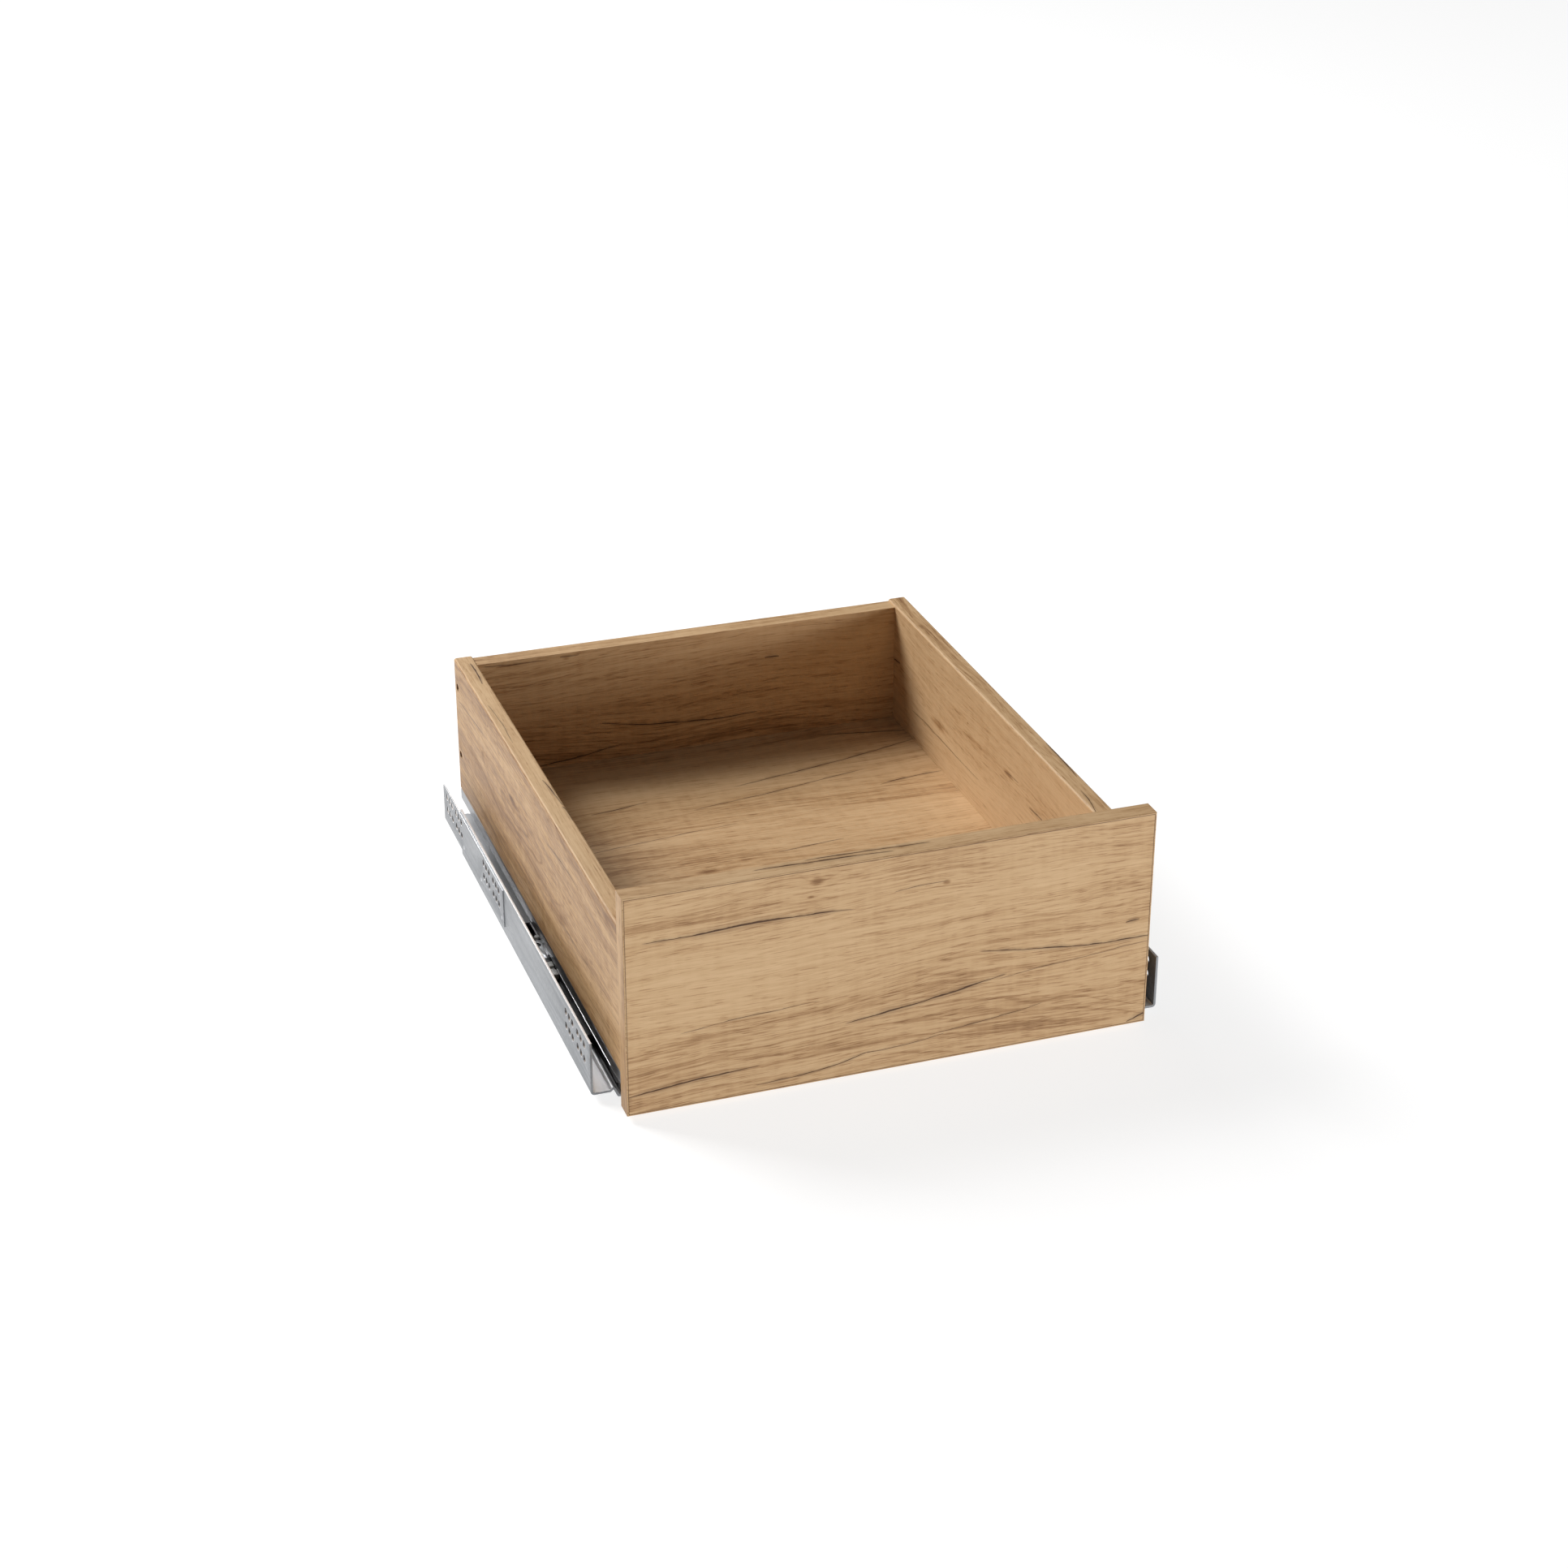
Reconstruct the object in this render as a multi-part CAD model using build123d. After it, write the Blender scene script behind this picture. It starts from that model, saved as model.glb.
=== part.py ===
from build123d import *
import os

os.makedirs("parts", exist_ok=True)

# ---------------------------------------------------------------- driving dimensions, millimetres
BOARD = 16.0  # thickness of the front, side and back boards
FRONT_W = 416.0
FRONT_H = 181.0
BAND = 1.0  # edge band on the front panel
SIDE_L = 500.0
SIDE_INSET = 1.25  # outer face of a side, in from the front panel's end
SIDE_H = 122.7
SIDE_UP = 26.5  # underside of the sides above the underside of the front panel
SIDE_ROUND = 2.0  # rounded top edges of the side panels
BACK_DROP = 1.9  # top of the back panel below the top of the sides
BOTTOM_T = 14.0  # bottom board

RAIL_DROP = 5.2  # depth of the ball channel below the front panel's underside
RAIL_T = 1.8  # steel of the cabinet rail
RAIL_OUT = 17.4  # flange's outer face, out from the front panel's end
RAIL_TOP = 44.6
RAIL_L = 402.0
LEFT_RAIL_FRONT = 36.6  # front end of each cabinet rail behind the front face
RIGHT_RAIL_FRONT = 16.8
PROFILE_T = 1.5  # steel of the drawer profile
PROFILE_OUT = 1.3  # its outer face, in from the front panel's end
PROFILE_LOW = 16.0  # lower edge of its outer wall
BALL_D = 5.0
BALL_GAP = 5.5  # between the two raceways
CAGE_T = 1.2
CAGE_L = 292.0
CAGE_BACK = 3.4  # front end of the cage behind the front end of the rail
BALLS_PER_ROW = 8
FIT = 0.05  # radial clearance of fasteners and dowels in their holes

HOLE_D = 6.5  # screw holes of the flange
HOLE_ROWS = (35.2, 22.8)  # heights of the two rows
HOLE_FIRST = 15.5  # first column behind the rail's front end
HOLE_PITCH = 9.1
HOLE_GAP = 14.0  # between the two threes of a group
HOLE_GROUPS = (0.0, 252.6, 380.6)  # offset of each group from the first

BRACKET_T = 0.9
BRACKET_FRONT = 254.4  # front edge of the rear bracket behind the rail's front end
BRACKET_L = 206.0
BRACKET_TOP = 42.2
BRACKET_LOW = 8.5
BRACKET_GAP = 0.3  # between the ledge's edge and the flange
PLATE_OUT = -RAIL_OUT - BRACKET_T  # the plate's outer face
PLATE_ROUND = 3.0
LEDGE_IN = 2.7  # inner edge of the ledge, where it steps down
STEP_DOWN = 0.5
STEP_LAP = 0.3
STEP_W = 1.8
LEG_U = (-13.0, -11.8)  # legs that stand on the rail's floor
LEG_L = 12.0
LEG_FROM_FRONT = 8.0
LEG_FROM_END = 24.0
RIVET_R = 1.6
RIVET_HEAD_R = 2.8
RIVET_HEAD_T = 1.0
RIVET_W = 14.5
RIVET_STEPS = (6.0, 75.0, 135.0)  # from the bracket's front edge

DEPTH = BOARD + SIDE_L
HALF_W = FRONT_W / 2
MID_Y = DEPTH / 2
SIDE_TOP = SIDE_UP + SIDE_H
INNER = SIDE_INSET + BOARD  # inner face of a side, in from the front panel's end


# ---------------------------------------------------------------- helpers
# Everything is first drawn from the front panel's lower left front corner: u to the right,
# v to the back, w up. place() moves it to the part's own frame.
STANDING = (Align.CENTER, Align.CENTER, Align.MIN)  # a cone or cylinder with its foot at the origin


def block(u, v, w):
    """A box between two values on each axis."""
    size = [high - low for low, high in (u, v, w)]
    centre = [(low + high) / 2 for low, high in (u, v, w)]
    return Pos(*centre) * Box(*size)


def rod(point, radius, length, axis):
    """A cylinder that starts at a point and runs along +X, +Y or +Z."""
    turn = {"x": Rot(0, 90, 0), "y": Rot(-90, 0, 0), "z": Rot(0, 0, 0)}[axis]
    start = Cylinder(radius, length, align=STANDING)
    return Pos(*point) * turn * start


def bent_sheet(points, radii, thickness, v):
    """Sheet metal: a bent centre line in the u-w plane, given a thickness and drawn along v."""
    line = FilletPolyline(*points, radius=radii)
    face = trace(line, thickness)
    solid = extrude(Plane.XZ * face, amount=v[1] - v[0], dir=(0, 1, 0))
    return Pos(0, v[0], 0) * solid


def join(pieces):
    """Several solids made one."""
    whole = pieces[0]
    for piece in pieces[1:]:
        whole = whole + piece
    return whole


def group(pieces):
    """Separate solids kept in one node."""
    return Compound(children=[solid for piece in pieces for solid in piece.solids()])


def place(shape):
    return Pos(-HALF_W, -MID_Y, RAIL_DROP) * shape


def save(name, shape):
    export_step(shape, f"parts/{name}.step")


def save_pair(name, left, right):
    """The left piece as drawn, and the right one mirrored in the middle plane."""
    save(f"left_{name}", place(left))
    save(f"right_{name}", mirror(place(right), about=Plane.YZ))


def save_same(name, shape):
    """A piece of the drawer that is the same on both sides."""
    save_pair(name, shape, shape)


# ---------------------------------------------------------------- the box
DOWEL_R = 4.0
DOWEL_L = 30.0
DOWEL_IN_FACE = 12.0  # depth in the board whose face is drilled
BOTTOM_DOWEL_R = 3.0
BOTTOM_DOWEL_IN = 10.0
FRONT_DOWEL_W = (52.0, 128.0)
BACK_DOWEL_W = 93.0
BOTTOM_DOWEL_V = (120.0, 260.0, 400.0)
BOTTOM_MID_W = SIDE_UP + BOTTOM_T / 2
BOTTOM_FRONT_U = (110.0, 306.0)

SCREW_V = DEPTH - BOARD / 2
SCREW_W = (125.0, 61.0)
SCREW_HEAD_R = 3.4
SCREW_HOLE_R = 3.6
SCREW_SINK = 1.6
SCREW_HEAD_L = 10.0
SCREW_R = 2.5
SCREW_L = 48.0
SCREW_KEY = 4.0  # across flats

CAM_R = 7.5
CAM_DEEP = 12.5
CAM_V = BOARD + 34.0
CAM_W = 90.0
CAM_BOLT_R = 3.0
CAM_BOLT_IN = 11.0
CAM_BOLT_HEAD = 3.4


# Each fastener or dowel is drawn by a function whose `fit` widens it all round: 0 draws the
# piece itself, and FIT draws the cutter for its hole.
def side_dowels(fit=0.0):
    """Dowels of one side: two into the front, one into the back."""
    side_mid = SIDE_INSET + BOARD / 2
    radius, length = DOWEL_R + fit, DOWEL_L + 2 * fit
    start_v, start_u = BOARD - DOWEL_IN_FACE - fit, INNER - DOWEL_IN_FACE - fit
    front = [rod((side_mid, start_v, w), radius, length, "y") for w in FRONT_DOWEL_W]
    return front + [rod((start_u, SCREW_V, BACK_DOWEL_W), radius, length, "x")]


def bottom_dowels(fit=0.0):
    """Dowels between the bottom panel and one side."""
    start = INNER - BOTTOM_DOWEL_IN - fit
    radius, length = BOTTOM_DOWEL_R + fit, DOWEL_L + 2 * fit
    return [rod((start, v, BOTTOM_MID_W), radius, length, "x") for v in BOTTOM_DOWEL_V]


def front_dowels(fit=0.0):
    """Dowels between the bottom panel and the front panel."""
    start = BOARD - BOTTOM_DOWEL_IN - fit
    radius, length = BOTTOM_DOWEL_R + fit, DOWEL_L + 2 * fit
    return [rod((u, start, BOTTOM_MID_W), radius, length, "y") for u in BOTTOM_FRONT_U]


def screw_blank(w, fit=0.0):
    """Head and shank of a connecting screw."""
    start = SIDE_INSET + SCREW_SINK - fit
    shank = rod((start, SCREW_V, w), SCREW_R + fit, SCREW_L + 2 * fit, "x")
    return shank + rod((start, SCREW_V, w), SCREW_HEAD_R + fit, SCREW_HEAD_L + 2 * fit, "x")


def connecting_screw(w):
    """A sunk screw through the side into the back panel, with a hexagon socket."""
    start = SIDE_INSET + SCREW_SINK
    key = RegularPolygon(SCREW_KEY / 2, 6, major_radius=False)
    socket = Pos(start, SCREW_V, w) * Rot(0, 90, 0) * extrude(key, amount=3.0)
    return screw_blank(w) - socket


def screw_bore(w):
    """The stepped hole of a connecting screw."""
    mouth = rod((0, SCREW_V, w), SCREW_HOLE_R, SIDE_INSET + SCREW_SINK, "x")
    return mouth + screw_blank(w, FIT)


def cam_bolt():
    """Steel bolt from the front panel into the cam, with a waist behind its head."""
    side_mid = INNER - CAM_DEEP / 2
    neck_l = CAM_V - BOARD - 4.0
    thread = rod((side_mid, BOARD - CAM_BOLT_IN, CAM_W), CAM_BOLT_R, CAM_BOLT_IN, "y")
    shank = rod((side_mid, BOARD, CAM_W), CAM_BOLT_R, neck_l, "y")
    waist = rod((side_mid, BOARD + neck_l, CAM_W), CAM_BOLT_R - 1.2, 3.0, "y")
    head = rod((side_mid, BOARD + neck_l + 3.0, CAM_W), CAM_BOLT_R - 0.2, CAM_BOLT_HEAD, "y")
    return thread + shank + waist + head


def cam_bolt_bore():
    """Straight hole that clears the bolt, in the front panel and the side."""
    side_mid = INNER - CAM_DEEP / 2
    start = BOARD - CAM_BOLT_IN - FIT
    return rod((side_mid, start, CAM_W), CAM_BOLT_R + FIT, CAM_V - start, "y")


def cam_bore():
    """Blind hole of the cam, in the side's inner face."""
    start = INNER - CAM_DEEP - FIT
    return rod((start, CAM_V, CAM_W), CAM_R + FIT, CAM_DEEP + 2 * FIT, "x")


def cam_housing():
    """Eccentric cam: a drum with a pocket for the bolt's head and a screwdriver cross."""
    start = INNER - CAM_DEEP
    drum = rod((start, CAM_V, CAM_W), CAM_R, CAM_DEEP, "x")
    pocket = rod((INNER - CAM_DEEP / 2, CAM_V - CAM_R - 1, CAM_W), 3.6, CAM_R + 5.5, "y")
    slot = block((INNER - 1.6, INNER + 1), (CAM_V - 4, CAM_V + 4), (CAM_W - 0.8, CAM_W + 0.8))
    cross = block((INNER - 1.6, INNER + 1), (CAM_V - 0.8, CAM_V + 0.8), (CAM_W - 4, CAM_W + 4))
    return drum - pocket - slot - cross


def side_panel():
    body = block((SIDE_INSET, INNER), (BOARD, DEPTH), (SIDE_UP, SIDE_TOP))
    top_edges = body.edges().filter_by(Axis.Y).group_by(Axis.Z)[-1]
    body = fillet(top_edges, SIDE_ROUND)
    cuts = side_dowels(FIT) + bottom_dowels(FIT) + [screw_bore(w) for w in SCREW_W]
    cuts += [cam_bolt_bore(), cam_bore(), hook_pin(FIT)] + profile_screws(FIT)
    for cut in cuts:
        body = body - cut
    return body


def mirrored(pieces):
    """The same cutters on the right half of the box, still in u, v, w."""
    plane = Plane((HALF_W, 0, 0), z_dir=(1, 0, 0))
    return [mirror(piece, about=plane) for piece in pieces]


def front_panel():
    body = block((BAND, FRONT_W - BAND), (0, BOARD), (BAND, FRONT_H - BAND))
    one_side = side_dowels(FIT)[:2] + [cam_bolt_bore()]
    for cut in one_side + mirrored(one_side) + front_dowels(FIT):
        body = body - cut
    return body


def front_edge_bands():
    """Four strips round the front panel; the upright ones run the full height."""
    soft, seam = 0.5, 0.05
    strips = []
    for low, high in ((0, BAND), (FRONT_W - BAND, FRONT_W)):
        strips.append(block((low, high), (0, BOARD), (0, FRONT_H)))
    for low, high in ((0, BAND), (FRONT_H - BAND, FRONT_H)):
        strips.append(block((BAND + seam, FRONT_W - BAND - seam), (0, BOARD), (low, high)))
    frame = block((0, FRONT_W), (0, BOARD), (0, FRONT_H))
    frame = fillet(frame.edges().group_by(Axis.Y)[0], soft)
    return [strip & frame for strip in strips]


def back_panel():
    body = block((INNER, FRONT_W - INNER), (DEPTH - BOARD, DEPTH), (SIDE_UP, SIDE_TOP - BACK_DROP))
    one_side = [screw_blank(w, FIT) for w in SCREW_W] + side_dowels(FIT)[2:]
    for cut in one_side + mirrored(one_side):
        body = body - cut
    return body


def bottom_panel():
    body = block((INNER, FRONT_W - INNER), (BOARD, DEPTH - BOARD), (SIDE_UP, SIDE_UP + BOTTOM_T))
    for cut in bottom_dowels(FIT) + mirrored(bottom_dowels(FIT)) + front_dowels(FIT):
        body = body - cut
    return body


# ---------------------------------------------------------------- drawer profile and its fittings
PROFILE_TOP = SIDE_UP
POST_U = PROFILE_OUT + PROFILE_T + BALL_GAP  # outer face of the rail's post
POST_W = 8.0
PROFILE_IN = POST_U + POST_W + BALL_GAP + PROFILE_T  # inner face side of the profile
POST_TOP = PROFILE_TOP - PROFILE_T - BALL_GAP
PROFILE_V = (BOARD + 0.4, DEPTH)
LOWER_RACE = 4.75  # centre of the profile's bottom lip
LEG_LOW = LOWER_RACE + PROFILE_T / 2 + BALL_GAP
PROFILE_SCREW_V = (96.0, 420.0)
PROFILE_SCREW_U = 9.25
PROFILE_SCREW_R = 1.75
PROFILE_SCREW_HEAD_R = 3.2
PROFILE_SCREW_L = 13.0  # of the shank, in the wood
PROFILE_BEND = 1.6  # bend radius on the centre line
LIP_V = (47.0, 198.0)
LEVER_PIN = (2.6, 48.5)
LEVER_HALF = 1.4  # half the lever's width
LEVER_L = 18.5  # from the pin to the tip
LEVER_W = (11.2, 14.1)
PIN_R = 0.9
COUPLING_V = (22.0, 50.6)
COUPLING_LOW = 14.4
HOOK_V = DEPTH - 9.0
HOOK_HALF = 7.0
HOOK_U = (4.0, 9.4)
HOOK_T = 1.2
HOOK_PIN_R = 2.5
HOOK_PIN_UP = 9.0  # pin's height in the wood
LIP_OUT = 0.45  # how far the hemmed lip stands off the wall, and its height
LIP_H = 0.7
TAB_V = (226.0, 240.0)
TAB_LOW = 12.7


def profile_screw(v, fit=0.0):
    """Countersunk screw up through the profile into the underside of the side."""
    head_r, shank_r = PROFILE_SCREW_HEAD_R + fit, PROFILE_SCREW_R + fit
    foot = Pos(PROFILE_SCREW_U, v, PROFILE_TOP - PROFILE_T)
    head = foot * Cone(head_r, shank_r, PROFILE_T, align=STANDING)
    return head + rod((PROFILE_SCREW_U, v, PROFILE_TOP), shank_r, PROFILE_SCREW_L + fit, "z")


def profile_screws(fit=0.0):
    return [profile_screw(v, fit) for v in PROFILE_SCREW_V]


def hook_pin(fit=0.0):
    """The rear hook's pin, which stands up into the underside of the side."""
    foot = (PROFILE_SCREW_U, HOOK_V, PROFILE_TOP - PROFILE_T)
    return rod(foot, HOOK_PIN_R + fit, PROFILE_T + HOOK_PIN_UP + fit, "z")


def rear_hook():
    """Steel plate under the profile's top with the pin that holds the box's back end.

    The plate stops short of the upper row of balls, which passes beside it."""
    plate_top = PROFILE_TOP - PROFILE_T
    along = (HOOK_V - HOOK_HALF, HOOK_V + HOOK_HALF)
    plate = block(HOOK_U, along, (plate_top - HOOK_T, plate_top))
    return plate + hook_pin()


def drawer_profile():
    """Inverted U that rides round the rail's post on balls; its foot turns in under the post."""
    left = PROFILE_OUT + PROFILE_T / 2
    right = PROFILE_IN - PROFILE_T / 2
    top = PROFILE_TOP - PROFILE_T / 2
    path = [(left, PROFILE_LOW), (left, top), (right, top), (right, LOWER_RACE)]
    path.append((POST_U + POST_W / 2 + 0.4, LOWER_RACE))
    body = bent_sheet(path, PROFILE_BEND, PROFILE_T, PROFILE_V)
    lip = block((PROFILE_OUT - LIP_OUT, PROFILE_OUT + FIT), LIP_V, (PROFILE_LOW, PROFILE_LOW + LIP_H))
    body = body + lip
    for cut in profile_screws(FIT) + [hook_pin(FIT)]:
        body = body - cut
    return body


def activator():
    """Tab welded to the lower edge of the profile's outer wall, which meets the soft close."""
    wall = (PROFILE_OUT, PROFILE_OUT + PROFILE_T)
    tab = block(wall, TAB_V, (TAB_LOW, PROFILE_LOW))
    return chamfer(tab.edges().filter_by(Axis.X).group_by(Axis.Z)[0], 1.5)


def front_coupling():
    """Black clip on the profile's lower edge that carries the release lever's pin."""
    body = block((PROFILE_OUT - 0.4, 4.3), COUPLING_V, (COUPLING_LOW, PROFILE_LOW))
    return body - lever_pin(FIT)


def lever_pin(fit=0.0):
    """Upright pin that joins the lever to the coupling."""
    low = LEVER_W[0] - 0.3
    return rod((*LEVER_PIN, low - fit), PIN_R + fit, PROFILE_LOW - 0.3 - low + 2 * fit, "z")


def release_lever():
    """Black finger lever under the coupling, with a round eye at its pin and a low grip."""
    u, v = LEVER_PIN
    across = (u - LEVER_HALF, u + LEVER_HALF)
    arm = block(across, (v - LEVER_L, v + LEVER_HALF), LEVER_W)
    arm = fillet(arm.edges().filter_by(Axis.Z), LEVER_HALF - 0.05)
    grip_v = (v - LEVER_L + 2, v - LEVER_L + 10)
    grip = block((across[0], across[0] + 1.0), grip_v, (LEVER_W[0] - 1.0, LEVER_W[0] + 0.3))
    return arm + grip - lever_pin(FIT)


# ---------------------------------------------------------------- cabinet rail
FLOOR_W = RAIL_T / 2
CHANNEL_W = -RAIL_DROP + RAIL_T / 2
RIB = (0.5, 3.3)


def hole_columns(groups):
    """Distance of every hole column from the rail's front end."""
    three = [0.0, HOLE_PITCH, 2 * HOLE_PITCH]
    second = 2 * HOLE_PITCH + HOLE_GAP
    return [HOLE_FIRST + start + step + more for start in groups for more in (0.0, second) for step in three]


def flange_holes(front, groups):
    """Cutters for the screw holes, right through the flange and the bracket's plate."""
    start = -RAIL_OUT - 3.0
    places = [(front + column, w) for column in hole_columns(groups) for w in HOLE_ROWS]
    return [rod((start, v, w), HOLE_D / 2, 6.0, "x") for v, w in places]


def cabinet_rail(front):
    """Flange, floor, rib, ball channel and post in one roll-formed sheet."""
    flange_u = -RAIL_OUT + RAIL_T / 2
    web = POST_U + RAIL_T / 2
    leg = POST_U + POST_W - RAIL_T / 2
    top = POST_TOP - RAIL_T / 2
    path = [(flange_u, RAIL_TOP), (flange_u, FLOOR_W), (-2.3, FLOOR_W), RIB, (3.9, CHANNEL_W)]
    path += [(web, CHANNEL_W), (web, top), (leg, top), (leg, LEG_LOW)]
    radii = [2.1, 1.2, 1.0, 1.3, 1.6, 1.6, 1.6]
    body = bent_sheet(path, radii, RAIL_T, (front, front + RAIL_L))
    for cut in flange_holes(front, HOLE_GROUPS) + rivets(front):
        body = body - cut
    return body


def bracket_span(front):
    """Front and rear end of the bracket."""
    near = front + BRACKET_FRONT
    return near, near + BRACKET_L


def rear_bracket(front):
    """Plate outside the flange, joined behind the rail to a ledge that runs inside it."""
    near, far = bracket_span(front)
    rail_end = front + RAIL_L
    inner = -RAIL_OUT + RAIL_T + BRACKET_GAP  # the flange passes between the plate and the ledge
    plate = block((PLATE_OUT, -RAIL_OUT), (near, far), (BRACKET_LOW, BRACKET_TOP))
    back_top = plate.edges().filter_by(Axis.X).sort_by(Axis.Y)[-2:].sort_by(Axis.Z)[-1:]
    plate = fillet(back_top, PLATE_ROUND)
    web_top = BRACKET_LOW + BRACKET_T
    foot = block((PLATE_OUT, inner), (rail_end + BRACKET_GAP, far), (BRACKET_LOW, web_top))
    ledge = block((inner, LEDGE_IN), (near, far), (BRACKET_LOW, web_top))
    lower = (BRACKET_LOW - STEP_DOWN, web_top - STEP_DOWN)
    step = block((LEDGE_IN - STEP_LAP, LEDGE_IN + STEP_W), (near, far), lower)
    body = join([plate, foot, ledge, step])
    for cut in flange_holes(front, HOLE_GROUPS) + rivets(front):
        body = body - cut
    starts = (near + LEG_FROM_FRONT, rail_end - LEG_FROM_END)
    legs = [block(LEG_U, (v, v + LEG_L), (RAIL_T, BRACKET_LOW + FIT)) for v in starts]
    return join([body] + legs)


def rivet_spots(front):
    """Places along the rail of the rivets that hold the bracket's plate to the flange."""
    near, _ = bracket_span(front)
    return [(near + step, RIVET_W) for step in RIVET_STEPS]


def rivets(front):
    """Rivet shanks through the plate and the flange, closed flush with the plate."""
    length = BRACKET_T + RAIL_T + RIVET_HEAD_T
    return [rod((PLATE_OUT, v, w), RIVET_R, length, "x") for v, w in rivet_spots(front)]


def bracket_rivets(front):
    """The same rivets with a flat head inside the flange."""
    inside = -RAIL_OUT + RAIL_T
    heads = [rod((inside, v, w), RIVET_HEAD_R, RIVET_HEAD_T, "x") for v, w in rivet_spots(front)]
    return [shank + head for shank, head in zip(rivets(front), heads)]


# ---------------------------------------------------------------- soft close of one rail
HOUSING_BACK = 189.0  # rear end of the housing behind the rail's front end
HOUSING_L = 124.0
HOUSING_U = (-15.2, 4.4)
HOUSING_W = (4.3, 12.0)
SLIDER_L = 22.0
SLIDER_U = (-1.6, 2.4)
SLIDER_TRAVEL = 45.0
CYLINDER_U = -11.0
CYLINDER_R = 2.6
SPRING_U = -5.4
SPRING_R = 1.9
AXIS_W = 8.2  # height of the cylinder's and the spring's middle
GROOVE_U = (-12.5, -9.5, 3.4)  # lengthwise grooves in the housing's top
GROOVE_SIZE = 0.8
SLIDER_STOP = 6.0  # slider's rear end ahead of the housing's
NOTCH_V = (8.0, 14.0)  # from the slider's rear end forward
NOTCH_LOW = 10.4
PISTON_R = 1.0
CYLINDER_L = 62.0
PISTON_L = 32.0
SPRING_TURNS = 24
SPRING_PITCH = 2.6
SPRING_WIRE = 0.35  # radius of the wire
ROD_U = 3.3
ROD_R = 0.9
ROD_W = AXIS_W + 2.0
COLLAR_U = 1.6
COLLAR_V = 226.6  # collar behind the rail's front end
STEM_L = 5.2
BUTTON_R = 2.5
BUTTON_T = 2.4
TONGUE_U = (-9.0, 4.3)
TONGUE_TOP = 10.6
TONGUE_T = 1.2
TONGUE_CUT_R = 3.4
TONGUE_FOOT = -14.0  # outer edge of its foot on the rail's floor
BUFFER_L = 8.0
BUFFER_PROUD = 0.4


def slider_room(front):
    """The slot that the slider runs in, open at the top."""
    back = front + HOUSING_BACK - SLIDER_STOP
    length = SLIDER_L + SLIDER_TRAVEL + 0.6
    gap = 0.35
    u = (SLIDER_U[0] - gap, SLIDER_U[1] + gap)
    return block(u, (back - length, back + 0.3), (6.6, HOUSING_W[1] + 1))


def soft_close_housing(front):
    """Black moulded tray over the floor, with rooms for the cylinder, spring and slider."""
    near = front + HOUSING_BACK - HOUSING_L
    far = front + HOUSING_BACK
    body = block(HOUSING_U, (near, far), HOUSING_W)
    body = fillet(body.edges().filter_by(Axis.Z), 1.2)
    feet = [block((-14.0, -4.0), (v, v + 12.0), (RAIL_T, HOUSING_W[0] + 0.1)) for v in (near + 4, far - 18)]
    body = join([body] + feet)
    cuts = [slider_room(front)]
    cuts.append(rod((CYLINDER_U, near + 10.0, AXIS_W), CYLINDER_R + 0.1, 100.0, "y"))
    cuts.append(rod((SPRING_U, near + 8.0, AXIS_W), SPRING_R + 0.2, 104.0, "y"))
    for u in GROOVE_U:
        depth = (HOUSING_W[1] - GROOVE_SIZE, HOUSING_W[1] + 1)
        cuts.append(block((u, u + GROOVE_SIZE), (near + 3, far - 3), depth))
    for cut in cuts:
        body = body - cut
    return body


def soft_close_slider(front):
    """Slider with a notch that takes the activator's lower edge."""
    far = front + HOUSING_BACK - SLIDER_STOP
    body = block(SLIDER_U, (far - SLIDER_L, far), (7.0, HOUSING_W[1] - FIT))
    notch_v = (far - NOTCH_V[1], far - NOTCH_V[0])
    notch = block((SLIDER_U[0] - 1, SLIDER_U[1] + 1), notch_v, (NOTCH_LOW, HOUSING_W[1] + 1))
    body = body - notch
    return fillet(body.edges().filter_by(Axis.X).group_by(Axis.Z)[-1], 0.5)


def damper_cylinder(front):
    """Closed steel tube with its piston rod, inside the housing."""
    near = front + HOUSING_BACK - HOUSING_L + 14.0
    tube = rod((CYLINDER_U, near, AXIS_W), CYLINDER_R, CYLINDER_L, "y")
    piston = rod((CYLINDER_U, near + CYLINDER_L, AXIS_W), PISTON_R, PISTON_L, "y")
    return tube + piston


def soft_close_spring(front):
    """Tension spring: a helix of round wire."""
    foot = (SPRING_U, front + HOUSING_BACK - HOUSING_L + 22.0, AXIS_W)
    coil_r = SPRING_R - SPRING_WIRE
    path = Helix(SPRING_PITCH, SPRING_PITCH * SPRING_TURNS, coil_r, center=foot, direction=(0, 1, 0))
    section = Plane(origin=path @ 0, z_dir=path % 0) * Circle(SPRING_WIRE)
    return sweep(section, path=path, is_frenet=True)


def damper_rod(front):
    """Bright rod from the collar back to the bracket's ledge."""
    start = front + COLLAR_V
    end = front + BRACKET_FRONT - 0.4
    foot = block((ROD_U - 1.0, ROD_U + 1.0), (end - 2.4, end), (BRACKET_LOW - 0.6, ROD_W + 1.0))
    return rod((ROD_U, start, ROD_W), ROD_R, end - start - 1.0, "y") + foot


def rod_collar(front):
    """Round white button on a black stem that stands on the rib."""
    v = front + COLLAR_V - 1.5
    stem = Cone(1.5, 1.0, STEM_L, align=STANDING)
    button = fillet(Cylinder(BUTTON_R, BUTTON_T).edges(), 0.9)
    button_mid = ROD_W + 1.0
    stem_foot = button_mid - BUTTON_T / 2 + 0.5 - STEM_L
    body = Pos(COLLAR_U, v, stem_foot) * stem + Pos(COLLAR_U, v, button_mid) * button
    return body - damper_rod(front)


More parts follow.
